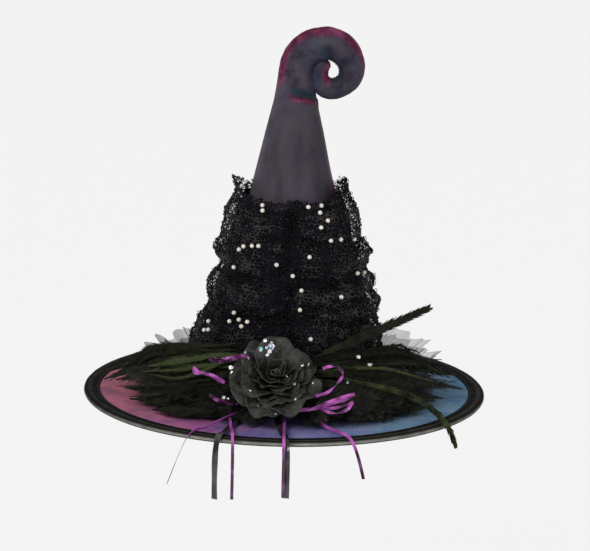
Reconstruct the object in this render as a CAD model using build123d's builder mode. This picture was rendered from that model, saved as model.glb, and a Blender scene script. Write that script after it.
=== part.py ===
from build123d import *

import os
from math import cos, pi, radians, sin

# Costume witch hat: a leaning satin cone with a stuffed, wired curl on a stiff round brim.
#
# The crown is three nested skins (satin, buckram, lining) that stand on the brim, and the brim is a buckram
# ring between two satin covers with a wired, bound edge.  Ruched lace with sewn pearls wraps the lower crown,
# tulle and feathers lie round its foot, and a fabric rose with ribbon loops and tails sits at the front.
# The frame: +Z up, the front is -Y, and the origin is the centre of the head opening, level with the brim's
# underside.  All sizes are millimetres.

os.makedirs("parts", exist_ok=True)

# Head opening and brim
head_radius = 90.0
sweatband_height = 22.0
brim_radius = 210.0
brim_hole_radius = 96.0
cover_thickness = 0.6
brim_board = 2.0
brim_top = 2 * cover_thickness + brim_board
brim_middle = brim_top / 2

# Bound edge
edge_roll_radius = 3.2
edge_wire_radius = 1.6
binding_width = 16.0
binding_thickness = 0.9
slip = 0.05
roll_centre = brim_radius - edge_roll_radius

# Crown: the outside as (height, sideways lean, radius) of its level circles
crown_foot = (brim_top, 0.0, 99.0)
crown_waist = (215.0, 5.0, 44.8)
crown_neck = (318.0, 5.5, 22.3)
board_thickness = 1.6
lining_thickness = 0.4
board_inset = cover_thickness
lining_inset = board_inset + board_thickness
inside_inset = lining_inset + lining_thickness
lining_top = 290.0

# Curl: a straight neck, then quarter turns of these radii and a last short turn
neck_length = 31.0
quarter_turns = (31.0, 27.4, 20.0, 13.0)
last_turn_radius = 20.0
last_turn_degrees = 35.0
curl_skin = 0.8
curl_wire_radius = 1.0
wire_foot = 290.8
curl_stations = 26

# Lace, tulle and pearls
lace_low = 24.0
puff_height = 39.6
puffs = 5
lace_steps = 4
puff_depth = 20.0
low_puff_depth = 12.0
lace_lean = 0.03
lace_gap = 0.4
lace_thickness = 0.8
pearl_radius = 2.3
tulle_sweep = 190.0
felt_thickness = 3.0

# Rose: its own plane leans back, so the bloom looks forward and up
rose_place = (-12.0, -126.0, 34.0)
rose_tilt = 55.0
outer_cup = 70.0
outer_lift = 2.2
petal_thickness = 0.8
feather_thickness = 1.0

# Ribbons
narrow_ribbon = 3.4
wide_ribbon = 7.0
ribbon_thickness = 0.6


def save(piece, label):
    """Labels a finished piece and writes its STEP file."""
    piece.part.label = label
    export_step(piece.part, f"parts/{label}.step")


def crown_at(height):
    """The crown's lean and outer radius at a height, between the foot and the neck."""
    low, high = (crown_foot, crown_waist) if height < crown_waist[0] else (crown_waist, crown_neck)
    share = (height - low[0]) / (high[0] - low[0])
    return low[1] + share * (high[1] - low[1]), low[2] + share * (high[2] - low[2])


def crown_core(inset, top=crown_neck[0]):
    """The crown's solid outline taken in by inset, from its foot to the height top."""
    heights = [crown_foot[0], crown_waist[0], top]
    with BuildPart() as core:
        for height in heights:
            lean, radius = crown_at(height)
            with BuildSketch(Plane.XY.offset(height)):
                with Locations((lean, 0)):
                    Circle(radius - inset)
        loft(ruled=True)
    return core.part


def ring(inner, outer, low, high):
    """A flat ring between two heights."""
    with BuildPart() as flat:
        with BuildSketch(Plane.XY.offset(low)):
            Circle(outer)
            Circle(inner, mode=Mode.SUBTRACT)
        extrude(amount=high - low)
    return flat


# ---------------------------------------------------------------- brim
board_radius = roll_centre - edge_wire_radius - 0.2
save(ring(brim_hole_radius, board_radius, 0, cover_thickness), "brim_under_cover")
save(ring(brim_hole_radius, board_radius, cover_thickness, cover_thickness + brim_board), "brim_board")
save(ring(brim_hole_radius, board_radius, cover_thickness + brim_board, brim_top), "brim_top_cover")

with BuildPart() as brim_wire:
    with BuildSketch(Plane.XZ):
        with Locations((roll_centre, brim_middle)):
            Circle(edge_wire_radius)
    revolve(axis=Axis.Z)
save(brim_wire, "brim_wire")

with BuildPart() as brim_binding:
    flap_centre = roll_centre - (binding_width - edge_roll_radius) / 2
    flap_length = binding_width - edge_roll_radius
    with BuildSketch(Plane.XZ):
        with Locations((roll_centre, brim_middle)):
            Circle(edge_roll_radius)
        with Locations((flap_centre, brim_middle)):
            Rectangle(flap_length, brim_top + 2 * (binding_thickness + slip))
        with Locations((flap_centre - 1, brim_middle)):
            Rectangle(flap_length + 2, brim_top + 2 * slip, mode=Mode.SUBTRACT)
        with Locations((roll_centre, brim_middle)):
            Circle(edge_wire_radius + slip, mode=Mode.SUBTRACT)
    revolve(axis=Axis.Z)
save(brim_binding, "brim_binding")

# ---------------------------------------------------------------- crown skins
crown_outside = crown_core(0)
board_outside = crown_core(board_inset)
lining_outside = crown_core(lining_inset)
lining_inside = crown_core(inside_inset, lining_top)
lining_solid = crown_core(lining_inset, lining_top + lining_thickness)

with BuildPart() as crown_cover:
    add(crown_outside)
    add(board_outside, mode=Mode.SUBTRACT)
save(crown_cover, "crown_cover")

with BuildPart() as crown_board:
    add(board_outside)
    add(lining_outside, mode=Mode.SUBTRACT)
save(crown_board, "crown_board")

with BuildPart() as crown_lining:
    add(lining_solid)
    add(lining_inside, mode=Mode.SUBTRACT)
save(crown_lining, "crown_lining")

with BuildPart() as sweatband:
    # The outside follows the lining, and the inside is the straight wall that the head meets.
    lean, radius = crown_at(sweatband_height)
    with BuildSketch(Plane.XZ):
        with BuildLine():
            Polyline(
                (head_radius, 0),
                (brim_hole_radius - 0.1, 0),
                (brim_hole_radius - 0.1, brim_top),
                (radius - inside_inset - lean - 0.1, sweatband_height),
                (head_radius, sweatband_height),
                close=True,
            )
        make_face()
    revolve(axis=Axis.Z)
save(sweatband, "sweatband")

# ---------------------------------------------------------------- curl
neck = Plane(origin=(crown_neck[1], 0, crown_neck[0]), x_dir=(1, 0, 0), z_dir=(0, -1, 0))
with BuildLine(neck) as curl_path:
    start = Line((0, 0), (0, neck_length))
    turn = start
    for turn_radius in quarter_turns:
        turn = JernArc(start=turn @ 1, tangent=turn % 1, radius=turn_radius, arc_size=-90)
    JernArc(start=turn @ 1, tangent=turn % 1, radius=last_turn_radius, arc_size=-last_turn_degrees)
curl_line = curl_path.wires()[0]
curl_length = curl_line.length


def curl_radius(along):
    """The curl's outer radius at a distance along it: a quick taper up the neck, then a slow one to the tip."""
    up_the_neck = crown_neck[2] - 0.155 * along
    to_the_tip = 16.8 - 0.099 * max(along - 80.0, 0.0)
    return min(max(up_the_neck, 16.8), to_the_tip) if along > 36 else up_the_neck


def curl_core(inset):
    """The curl's solid outline taken in by inset, with a round tip."""
    with BuildPart() as core:
        for station in range(curl_stations + 1):
            share = station / curl_stations
            with BuildSketch(Plane(origin=curl_line @ share, z_dir=curl_line % share)):
                Circle(curl_radius(share * curl_length) - inset)
        loft(ruled=True)
        with Locations(curl_line @ 1):
            Sphere(curl_radius(curl_length) - inset)
    return core.part


curl_outside = curl_core(0)
curl_inside = curl_core(curl_skin)

with BuildPart() as curl_cover:
    add(curl_outside)
    add(curl_inside, mode=Mode.SUBTRACT)
save(curl_cover, "curl_cover")

with BuildPart() as curl_wire:
    # The wire's foot ends in the crown, between the lining and the stuffing's plug.
    with BuildLine() as wire_path:
        Line(neck.from_local_coords((0, wire_foot - crown_neck[0])), curl_line @ 0)
        add(curl_line.trim(0, 0.97))
    with BuildSketch(Plane.XY.offset(wire_foot)):
        with Locations((crown_neck[1], 0)):
            Circle(curl_wire_radius)
    sweep()
save(curl_wire, "curl_wire")

with BuildPart() as curl_stuffing:
    # A plug below the curl fills the top of the crown, above the lining.
    add(curl_inside)
    plug_foot = lining_top + 2
    for height in (plug_foot, crown_neck[0]):
        lean, radius = crown_at(height)
        with BuildSketch(Plane.XY.offset(height)):
            with Locations((lean, 0)):
                Circle(radius - lining_inset - 0.2)
    loft(ruled=True)
    add(curl_wire.part, mode=Mode.SUBTRACT)
save(curl_stuffing, "curl_stuffing")

# ---------------------------------------------------------------- lace and pearls
facing_up = Vector(0, -cos(radians(rose_tilt)), sin(radians(rose_tilt)))
rose = Plane(origin=rose_place, x_dir=(1, 0, 0), z_dir=facing_up)


def lace_circle(height):
    """The lace's sideways centre and outer radius: puffs up the crown, drawn in where they are gathered."""
    lean, radius = crown_at(height)
    bulge = abs(sin(pi * (height - lace_low) / puff_height)) ** 0.7
    depth = low_puff_depth if height < lace_low + puff_height else puff_depth
    gathered = radius + lace_gap + lace_thickness + lace_lean * (height - lace_low)
    return lean + lace_lean * (height - lace_low), gathered + depth * bulge


def lace_core(inset):
    """The solid outline of the ruched lace taken in by inset."""
    with BuildPart() as core:
        for step in range(puffs * lace_steps + 1):
            height = lace_low + puff_height * step / lace_steps
            centre, radius = lace_circle(height)
            with BuildSketch(Plane.XY.offset(height)):
                with Locations((centre, 0)):
                    Circle(radius - inset)
        loft(ruled=True)
    return core.part


lace_outside = lace_core(0)
lace_inside = lace_core(lace_thickness)
with BuildPart() as lace_sleeve:
    # The rose's outer petals press the lace back a little at the front.
    add(lace_outside)
    add(lace_inside, mode=Mode.SUBTRACT)
    with Locations(rose.offset(outer_lift + outer_cup).origin):
        Sphere(outer_cup + 0.4, mode=Mode.SUBTRACT)
save(lace_sleeve, "lace_sleeve")

with BuildPart() as gathering_threads:
    # One thread runs down the middle of the front and one down the back, between lace and crown.
    for facing in (-1, 1):
        lean_low, radius_low = crown_at(lace_low)
        lean_high, radius_high = crown_at(crown_waist[0] - 4)
        thread_low = Vector(lean_low, facing * (radius_low + 0.2), lace_low)
        run = Vector(lean_high, facing * (radius_high + 0.2), crown_waist[0] - 4) - thread_low
        with BuildSketch(Plane(origin=thread_low, z_dir=run)):
            Circle(0.15)
        extrude(amount=run.length)
save(gathering_threads, "gathering_threads")

# Pearls as (degrees right of the middle of the front, height); the back repeats them half a turn round.
pearl_places = [
    (-32, 216), (-28, 212), (14, 218), (31, 219), (24, 212), (29, 203), (23, 198), (36, 178),
    (47, 177), (72, 176), (13, 169), (-11, 162), (-49, 148), (-43, 169), (-38, 175), (-33, 173),
    (-27, 176), (1, 147), (8, 134), (35, 123), (65, 140), (72, 137), (7, 114), (-44, 103),
    (-40, 96), (-35, 100), (-28, 101), (-31, 94), (-53, 85), (-59, 82), (-56, 91), (13, 85),
    (53, 58), (60, 48),
]
with BuildPart() as pearl_beads:
    for turn_degrees in (0, 180):
        for degrees, height in pearl_places:
            angle = radians(degrees + turn_degrees - 90)
            centre, radius = lace_circle(height)
            reach = radius + pearl_radius + 1.6
            with Locations((centre + reach * cos(angle), reach * sin(angle), height)):
                Sphere(pearl_radius)
save(pearl_beads, "pearl_beads")

# ---------------------------------------------------------------- tulle
with BuildPart() as tulle_ruffle:
    # The ruffle flares up and out from the crown's foot round the sides and back.
    with BuildSketch(Plane.XZ.rotated((0, 0, 180 - (tulle_sweep - 180) / 2))):
        with BuildLine():
            Polyline((-103, 5), (-105, 5), (-144, 46), (-142.5, 47.5), close=True)
        make_face()
    revolve(axis=Axis.Z, revolution_arc=tulle_sweep)
save(tulle_ruffle, "tulle_ruffle")

# ---------------------------------------------------------------- feathers
# Each long feather as (root, middle, tip, width), a flat blade bowed through its three points.
feathers = {
    "feather_left_rear": ((-48, -100, 60), (-130, -44, 46), (-209, -8, 9), 18),
    "feather_left_upper": ((-44, -110, 49), (-120, -63, 34), (-186, -6, 13), 18),
    "feather_left_green": ((-46, -106, 68), (-98, -82, 56), (-142, -50, 40), 12),
    "feather_left_middle": ((-42, -117, 39), (-108, -84, 26), (-166, -32, 11), 20),
    "feather_left_front": ((-40, -122, 32), (-106, -102, 20), (-160, -68, 8), 20),
    "feather_left_low": ((-42, -128, 22), (-92, -126, 14), (-136, -106, 7), 18),
    "feather_right_tall": ((32, -110, 70), (100, -66, 84), (150, -20, 96), 13),
    "feather_right_rear": ((30, -104, 58), (112, -50, 48), (184, 18, 18), 18),
    "feather_right_upper": ((30, -110, 50), (112, -68, 39), (186, -14, 13), 18),
    "feather_right_middle": ((28, -116, 41), (104, -90, 29), (166, -46, 11), 20),
    "feather_right_front": ((28, -124, 31), (94, -112, 19), (150, -80, 8), 20),
    "feather_right_drooping": ((40, -130, 42), (150, -126, 31), (184, -152, -18), 8),
}
for label, (root, middle, tip, width) in feathers.items():
    root, middle, tip = Vector(root), Vector(middle), Vector(tip)
    chord = tip - root
    blade = Plane(origin=root, x_dir=chord, z_dir=chord.cross(middle - root))
    bow = blade.to_local_coords(middle)
    end = blade.to_local_coords(tip)
    with BuildPart() as feather:
        with BuildSketch(blade):
            with BuildLine():
                ThreePointArc((0, 0), (bow.X, bow.Y + width / 2), (end.X, end.Y))
                ThreePointArc((end.X, end.Y), (bow.X, bow.Y - width / 2), (0, 0))
            make_face()
        extrude(amount=feather_thickness / 2, both=True)
    save(feather, label)

for side_name, side_sign in (("left", -1), ("right", 1)):
    with BuildPart() as feather_pad:
        with BuildSketch(Plane.XY.offset(brim_top + slip)):
            with Locations((side_sign * 98, -80)):
                Ellipse(52, 26, rotation=side_sign * 51)
            Circle(99.5, mode=Mode.SUBTRACT)
        extrude(amount=felt_thickness)
    save(feather_pad, f"feather_pad_{side_name}")

# ---------------------------------------------------------------- rose
with BuildPart() as rose_backing:
    with BuildSketch(rose):
        Circle(24)
    extrude(amount=2)
save(rose_backing, "rose_backing")


def petal_layer(cup_radius, petal_reach, count, lift, turn):
    """One scalloped layer of petals, cut from a bowl of cup_radius that stands lift above the backing."""
    layer_plane = rose.offset(lift)
    with BuildPart(layer_plane) as petals:
        with Locations((0, 0, cup_radius)):
            Sphere(cup_radius)
            Sphere(cup_radius - petal_thickness, mode=Mode.SUBTRACT)
        with BuildSketch(layer_plane.offset(-1)):
            with PolarLocations(petal_reach / 2, count, start_angle=turn):
                Ellipse(petal_reach / 2, petal_reach * 1.06 * sin(pi / count))
            Circle(petal_reach * 0.08, mode=Mode.SUBTRACT)
        extrude(amount=cup_radius, mode=Mode.INTERSECT)
    return petals


save(petal_layer(outer_cup, 53, 7, outer_lift, 12), "rose_outer_petals")
save(petal_layer(46, 41, 6, 4.2, 0), "rose_middle_petals")
save(petal_layer(28, 26, 5, 6.2, 20), "rose_inner_petals")

with BuildPart() as rose_bud:
    with BuildSketch(rose.offset(8.5)):
        Circle(5)
    with BuildSketch(rose.offset(24)):
        Circle(10)
    loft()
save(rose_bud, "rose_bud")

# Sequins as (across, up) in the rose's plane, in three loose clusters on the outer petals.
sequin_places = [
    (-8, 33), (-4, 30), (-1, 34), (-6, 27), (-2, 26), (3, 31), (-12, 30),
    (-30, 22), (-34, 18), (-29, 15), (-40, -8), (-37, -12), (-43, -4),
    (30, 20), (34, 15), (38, 4), (24, 26), (36, -12),
]
with BuildPart() as sequins:
    for across, up in sequin_places:
        depth = outer_cup - (outer_cup**2 - across**2 - up**2) ** 0.5
        with BuildSketch(rose.offset(outer_lift + depth + 3.0)):
            with Locations((across, up)):
                Circle(1.6)
        extrude(amount=0.4)
save(sequins, "sequins")

# ---------------------------------------------------------------- ribbon loops
# Each loop as (root, far end, half height): a lens of narrow ribbon, seen broadside from the front.
loops = {
    "ribbon_loop_left_upper": ((-52, -106, 76), (-88, -112, 70), 3.5),
    "ribbon_loop_left_middle": ((-66, -126, 48), (-96, -128, 57), 4.0),
    "ribbon_loop_left_lower": ((-52, -141, 21), (-84, -137, 30), 3.5),
    "ribbon_loop_right_upper": ((46, -126, 38), (62, -130, 64), 7.0),
    "ribbon_loop_right_middle": ((24, -150, 24), (74, -142, 40), 4.5),
    "ribbon_loop_right_lower": ((36, -150, 19), (68, -146, 24), 4.0),
}
for label, (root, far_end, half_height) in loops.items():
    root, far_end = Vector(root), Vector(far_end)
    reach = (far_end - root).length
    across = (far_end - root).cross(Vector(0, 0, 1))
    loop_plane = Plane(origin=root, x_dir=far_end - root, z_dir=across)
    inner_share = 1 - ribbon_thickness / half_height
    with BuildPart() as ribbon_loop:
        with BuildSketch(loop_plane):
            with Locations((reach / 2, 0)):
                Ellipse(reach / 2, half_height)
                Ellipse(reach / 2 - ribbon_thickness, half_height * inner_share, mode=Mode.SUBTRACT)
        extrude(amount=narrow_ribbon / 2, both=True)
    save(ribbon_loop, label)

# ---------------------------------------------------------------- ribbon tails
# Each tail leaves the rose, crosses the brim in one upright plane and hangs off its edge.  The route is
# (outward distance, height), chosen by hand; the distance at the edge differs from tail to tail.
tails = {
    "purple_tail_far_left": ((-31, -132), (-0.773, -0.634), narrow_ribbon,
        [(0, 21), (18, 18), (36, 16), (54, 11), (68, 7.8), (80, 9), (91, 0), (99, -14), (107, -29), (115, -45)]),
    "purple_tail_left": ((-57, -122), (0.055, -0.9985), narrow_ribbon,
        [(0, 19), (18, 12), (40, 8.6), (60, 8.6), (77, 10.6), (87.5, 2.6), (91, -14), (92, -35), (91, -58)]),
    "black_tail_left": ((-42, -116), (-0.29, -0.957), wide_ribbon,
        [(0, 17), (18, 10.5), (42, 6.8), (66, 6.6), (84, 8.4), (95, 0), (98, -17), (98.5, -38), (97, -59)]),
    "purple_tail_middle": ((1, -124), (0, -1), narrow_ribbon,
        [(0, 19), (18, 12), (40, 8.8), (62, 8.8), (83, 11.4), (96, 3), (99.5, -13), (100, -32), (99, -52)]),
    "black_tail_right": ((-9, -118), (0.13, -0.9915), wide_ribbon,
        [(0, 17), (18, 10.5), (42, 6.6), (68, 6.4), (88, 8.2), (99.5, 0), (102.5, -16), (102.5, -34), (101, -54)]),
    "purple_tail_right": ((20, -118), (0.52, -0.854), narrow_ribbon,
        [(0, 18), (20, 11.5), (44, 7.6), (68, 7.6), (89, 9.6), (103, 3.4), (112, -8), (118.5, -19), (124, -30)]),
}
for label, (foot, outward, width, route) in tails.items():
    upright = Plane(origin=(*foot, 0), x_dir=(*outward, 0), z_dir=Vector(*outward, 0).cross(Vector(0, 0, 1)))
    corners = []
    for before, here, after in zip(route, route[1:], route[2:]):
        run_in, run_out = Vector(*here) - Vector(*before), Vector(*after) - Vector(*here)
        half_turn = radians(run_in.get_angle(run_out)) / 2
        corners.append(0.45 * min(run_in.length, run_out.length) / (sin(half_turn) / cos(half_turn)))
    with BuildPart() as ribbon_tail:
        with BuildSketch(upright):
            with BuildLine() as tail_path:
                FilletPolyline(*route, radius=corners)
            trace(line_width=ribbon_thickness)
        extrude(amount=width / 2, both=True)
    tail_length = tail_path.wires()[0].length
    swept = tail_length * ribbon_thickness * width
    print(label, "length", round(tail_length, 1), "least radius", round(min(corners), 1),
          "volume share", round(ribbon_tail.part.volume / swept, 3))
    save(ribbon_tail, label)
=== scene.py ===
"""The looks of the costume witch hat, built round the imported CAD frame.  Lengths are typed in millimetres."""

import random
from math import atan2, ceil, cos, degrees, exp, pi, radians, sin, sqrt

import bpy
from mathutils import Matrix, Vector, noise
from mathutils.bvhtree import BVHTree
from mathutils.geometry import delaunay_2d_cdt


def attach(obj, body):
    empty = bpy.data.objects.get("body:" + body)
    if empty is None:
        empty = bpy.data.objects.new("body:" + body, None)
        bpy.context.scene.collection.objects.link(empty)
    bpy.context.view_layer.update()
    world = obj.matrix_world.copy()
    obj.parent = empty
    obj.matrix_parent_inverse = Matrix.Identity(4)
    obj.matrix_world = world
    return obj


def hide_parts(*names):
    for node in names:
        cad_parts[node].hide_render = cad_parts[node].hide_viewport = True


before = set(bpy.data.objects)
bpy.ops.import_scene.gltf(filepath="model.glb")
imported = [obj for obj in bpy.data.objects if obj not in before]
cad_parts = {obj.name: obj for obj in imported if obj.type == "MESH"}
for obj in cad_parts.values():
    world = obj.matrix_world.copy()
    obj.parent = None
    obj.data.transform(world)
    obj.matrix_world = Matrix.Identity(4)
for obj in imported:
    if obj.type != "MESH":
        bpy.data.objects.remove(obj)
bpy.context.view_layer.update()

MM = 0.001
scene = bpy.context.scene
scene.view_settings.view_transform = "Standard"
UP = Vector((0, 0, 1))


# ------------------------------------------------------------------ camera and light
VIEW_HEIGHT = radians(14.75)
VIEW_ROLL = radians(1.2)
VIEW_WIDTH = 0.6195
AIM_RIGHT, AIM_UP = 0.00895, 0.1241
CAMERA_DISTANCE = 20.0
SENSOR = 36


def set_camera():
    """A long lens in front of the hat, 15 degrees above the brim, turned a little so the hat leans right."""
    right, up = Vector((1, 0, 0)), Vector((0, sin(VIEW_HEIGHT), cos(VIEW_HEIGHT)))
    back = Vector((0, -cos(VIEW_HEIGHT), sin(VIEW_HEIGHT)))
    aim = right * AIM_RIGHT + up * AIM_UP
    data = bpy.data.cameras.new("camera")
    data.sensor_width = SENSOR
    data.lens = SENSOR * CAMERA_DISTANCE / VIEW_WIDTH
    data.clip_end = 100
    camera = bpy.data.objects.new("camera", data)
    scene.collection.objects.link(camera)
    turned_right = right * cos(VIEW_ROLL) + up * sin(VIEW_ROLL)
    turned_up = up * cos(VIEW_ROLL) - right * sin(VIEW_ROLL)
    place = aim + back * CAMERA_DISTANCE
    camera.matrix_world = Matrix.Translation(place) @ Matrix((turned_right, turned_up, back)).transposed().to_4x4()
    scene.camera = camera


def area_light(name, place, aim, size, power, colour=(1, 1, 1)):
    data = bpy.data.lights.new(name, "AREA")
    data.shape = "RECTANGLE"
    data.size, data.size_y = size
    data.energy = power
    data.color = colour
    light = bpy.data.objects.new(name, data)
    light.location = place
    light.rotation_euler = (Vector(aim) - Vector(place)).to_track_quat("-Z", "Y").to_euler()
    scene.collection.objects.link(light)


set_camera()
area_light("key", (-1.2, -1.8, 1.6), (0, 0, 0.15), (1.1, 1.1), 34)
area_light("fill", (1.9, -1.3, 0.8), (0, 0, 0.15), (1.4, 1.4), 8)
area_light("rim", (0.5, 1.2, 2.2), (0, 0, 0.25), (1.2, 0.8), 8)

world = bpy.data.worlds.new("studio")
world.use_nodes = True
world.node_tree.nodes["Background"].inputs["Color"].default_value = (0.93, 0.95, 1.0, 1)
world.node_tree.nodes["Background"].inputs["Strength"].default_value = 0.30
scene.world = world


materials = {}


# ------------------------------------------------------------------ shader helpers
class Shader:
    """A material, kept in materials under its name, and short ways to add its nodes."""

    def __init__(self, name, roughness=0.5, specular=0.5, sheen=0.0, alpha=1.0, **more):
        materials[name] = bpy.data.materials.new(name)
        materials[name].use_nodes = True
        self.tree = materials[name].node_tree
        self.principled = self.tree.nodes["Principled BSDF"]
        self.put("Roughness", roughness)
        self.put("Specular IOR Level", specular)
        self.put("Sheen Weight", sheen)
        self.put("Alpha", alpha)
        for socket, value in more.items():
            self.put(socket.replace("_", " "), value)
        self.height = None

    def plug(self, socket, value):
        """Links a socket to another, or types its value; a colour is three numbers."""
        if isinstance(value, bpy.types.NodeSocket):
            self.tree.links.new(value, socket)
        else:
            socket.default_value = (*value, 1) if socket.type == "RGBA" else value

    def put(self, socket, value):
        self.plug(self.principled.inputs[socket], value)

    def paint(self, colour):
        self.put("Base Color", colour)

    def base(self):
        """What the base colour is linked to so far."""
        return self.principled.inputs["Base Color"].links[0].from_socket

    def node(self, kind, settings=None, **inputs):
        made = self.tree.nodes.new(kind)
        for key, value in (settings or {}).items():
            setattr(made, key, value)
        for key, value in inputs.items():
            numbered = key[0] == "i" and key[1:].isdigit()
            self.plug(made.inputs[int(key[1:]) if numbered else key.replace("_", " ")], value)
        return made

    def place(self, scale=(1, 1, 1)):
        """The point on the object, in metres, stretched by scale."""
        point = self.node("ShaderNodeTexCoord").outputs["Object"]
        return self.node("ShaderNodeMapping", Vector=point, Scale=scale).outputs["Vector"]

    def noise(self, scale, detail=3.0, stretch=(1, 1, 1), roughness=0.55):
        made = self.node("ShaderNodeTexNoise", Vector=self.place(stretch), Scale=scale, Detail=detail,
                         Roughness=roughness)
        return made.outputs["Fac"]

    def value(self, name):
        return self.node("ShaderNodeAttribute", {"attribute_name": name}).outputs["Fac"]

    def maths(self, operation, first, second):
        return self.node("ShaderNodeMath", {"operation": operation}, i0=first, i1=second).outputs[0]

    def plus(self, first, second, share):
        """first + second * share."""
        return self.maths("ADD", first, self.maths("MULTIPLY", second, share))

    def ramp(self, factor, *stops):
        """Colours between typed stops of (position, colour); a grey may be one number."""
        made = self.node("ShaderNodeValToRGB", Fac=factor)
        elements = made.color_ramp.elements
        while len(elements) < len(stops):
            elements.new(0.5)
        for element, (position, colour) in zip(elements, stops):
            element.position = position
            element.color = (*colour, 1) if isinstance(colour, tuple) else (colour, colour, colour, 1)
        return made.outputs["Color"]

    def mix(self, factor, first, second, blend="MIX"):
        settings = {"data_type": "RGBA", "blend_type": blend}
        return self.node("ShaderNodeMix", settings, i0=factor, i6=first, i7=second).outputs[2]

    def waves(self, way, scale):
        return self.node("ShaderNodeTexWave", {"bands_direction": way}, Vector=self.place(), Scale=scale).outputs["Fac"]

    def weave(self, pitch_mm):
        """Crossing threads, as a height."""
        pitch = 2 * pi / (pitch_mm * MM) / 20
        return self.maths("MULTIPLY", self.waves("X", pitch), self.waves("Z", pitch))

    def bump(self, height, distance_mm, strength=1.0):
        """Adds a bump of a height field on top of those there already."""
        made = self.node("ShaderNodeBump", Height=height, Distance=distance_mm * MM, Strength=strength)
        if self.height is not None:
            self.tree.links.new(self.height, made.inputs["Normal"])
        self.height = made.outputs["Normal"]
        self.put("Normal", self.height)


def cloth(name, dark, light, roughness=0.5, specular=0.4, sheen=0.2, patch=45.0, weave_mm=0.5, weave_depth=0.05,
          crumple=0.25, alpha=1.0):
    """A woven cloth: two tones in soft patches, a weave and fine crumples."""
    shader = Shader(name, roughness, specular, sheen, alpha)
    tone = shader.plus(shader.noise(patch), shader.noise(patch * 9, 2.0), 0.35)
    shader.paint(shader.ramp(tone, (0.45, dark), (0.88, light)))
    shader.bump(shader.noise(patch * 4, 4.0), crumple)
    shader.bump(shader.weave(weave_mm), weave_depth, 0.6)
    return shader


def dye(shader, low, high, *stops):
    """Colour along X through typed stops of (millimetres, colour), with the borders of the dye wandering."""
    point = shader.node("ShaderNodeSeparateXYZ", Vector=shader.place())
    wander = shader.maths("SUBTRACT", shader.noise(19.0, 3.0), 0.5)
    x = shader.plus(point.outputs["X"], wander, 0.16)
    share = shader.maths("DIVIDE", shader.maths("SUBTRACT", x, low * MM), (high - low) * MM)
    return shader.ramp(share, *[((mm - low) / (high - low), colour) for mm, colour in stops])


# ------------------------------------------------------------------ materials
def make_satins():
    # Shot satin of the cone and curl: plum-grey, with a painted crimson sheen on the ridge and painted dark teal shade
    # in the folds.
    shader = Shader("crown_satin", 0.5, 0.07)
    ground = shader.ramp(shader.noise(26.0, 4.0, (1, 1, 0.22)), (0.36, (0.036, 0.031, 0.046)),
                         (0.47, (0.062, 0.050, 0.062)), (0.56, (0.066, 0.060, 0.082)), (0.68, (0.086, 0.072, 0.078)))
    smoke = shader.ramp(shader.noise(48.0, 4.0, roughness=0.65), (0.38, (0.34, 0.32, 0.38)),
                        (0.50, (0.78, 0.76, 0.84)), (0.64, (1.20, 1.10, 1.15)))
    ground = shader.mix(shader.value("smoke"), ground, smoke, "MULTIPLY")
    patches = shader.ramp(shader.noise(55.0), (0.40, 0.0), (0.60, 1.0))
    # Painted shade: a dark teal for the folds, the groove and the curl.
    folds = shader.mix(patches, (0.008, 0.010, 0.018), (0.018, 0.036, 0.060))
    ground = shader.mix(shader.value("teal"), ground, folds)
    blotch = shader.ramp(shader.noise(80.0), (0.42, 0.0), (0.62, 1.0))
    # Painted highlight: the crimson sheen of the shot satin, in blotches of two strengths.
    wine = shader.mix(blotch, (0.085, 0.012, 0.036), (0.235, 0.045, 0.110))
    shader.paint(shader.mix(shader.value("wine"), ground, wine))
    shader.bump(shader.noise(60.0, 4.0, (1, 1, 0.4)), 0.5)
    shader.bump(shader.weave(0.5), 0.04, 0.5)

    # The brim, dyed from rose mauve on the left through purple to slate blue.
    shader = Shader("brim_satin", 0.65, 0.05)
    colour = dye(shader, -205, 205, (-200, (0.440, 0.150, 0.205)), (-140, (0.460, 0.165, 0.240)),
                 (-85, (0.370, 0.125, 0.340)), (-35, (0.250, 0.200, 0.430)), (25, (0.210, 0.215, 0.440)),
                 (75, (0.185, 0.235, 0.430)), (125, (0.170, 0.290, 0.400)), (195, (0.125, 0.240, 0.330)))
    mottle = shader.ramp(shader.noise(42.0, 4.0), (0.32, (0.62, 0.70, 0.84)), (0.5, (0.98, 0.94, 0.96)),
                         (0.68, (1.22, 1.05, 1.02)))
    shader.paint(shader.mix(1.0, colour, mottle, "MULTIPLY"))
    shader.bump(shader.noise(45.0, 4.0), 0.7)
    shader.bump(shader.noise(420.0, 2.0), 0.08)
    shader.bump(shader.weave(0.55), 0.05, 0.6)

    shader = cloth("binding_satin", (0.004, 0.004, 0.003), (0.013, 0.012, 0.011), 0.6, 0.03, 0.0, patch=60)
    # Painted highlight: a pale line along the rolled edge.
    shader.paint(shader.mix(shader.value("roll"), shader.base(), (0.340, 0.335, 0.300)))

    cloth("under_satin", (0.010, 0.009, 0.011), (0.022, 0.020, 0.024), 0.5, 0.2, 0.0)
    cloth("lining", (0.009, 0.008, 0.010), (0.020, 0.018, 0.022), 0.4, 0.3, 0.0, crumple=0.5)
    cloth("buckram", (0.05, 0.05, 0.05), (0.10, 0.10, 0.10), 0.8, 0.2, weave_mm=1.6, weave_depth=0.25)
    cloth("stuffing", (0.6, 0.6, 0.58), (0.8, 0.8, 0.78), 0.9, 0.1, patch=120)
    cloth("felt", (0.006, 0.006, 0.006), (0.014, 0.014, 0.013), 0.95, 0.1, 0.4, patch=200)
    cloth("thread", (0.010, 0.010, 0.010), (0.03, 0.03, 0.03), 0.6, 0.3, patch=300)
    cloth("stitch", (0.030, 0.030, 0.031), (0.06, 0.06, 0.06), 0.55, 0.3, patch=300)

    # Grosgrain sweatband: fine upright ribs.
    shader = cloth("sweatband", (0.010, 0.010, 0.011), (0.024, 0.023, 0.025), 0.7, 0.25)
    shader.bump(shader.waves("Z", 260.0), 0.25)


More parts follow.
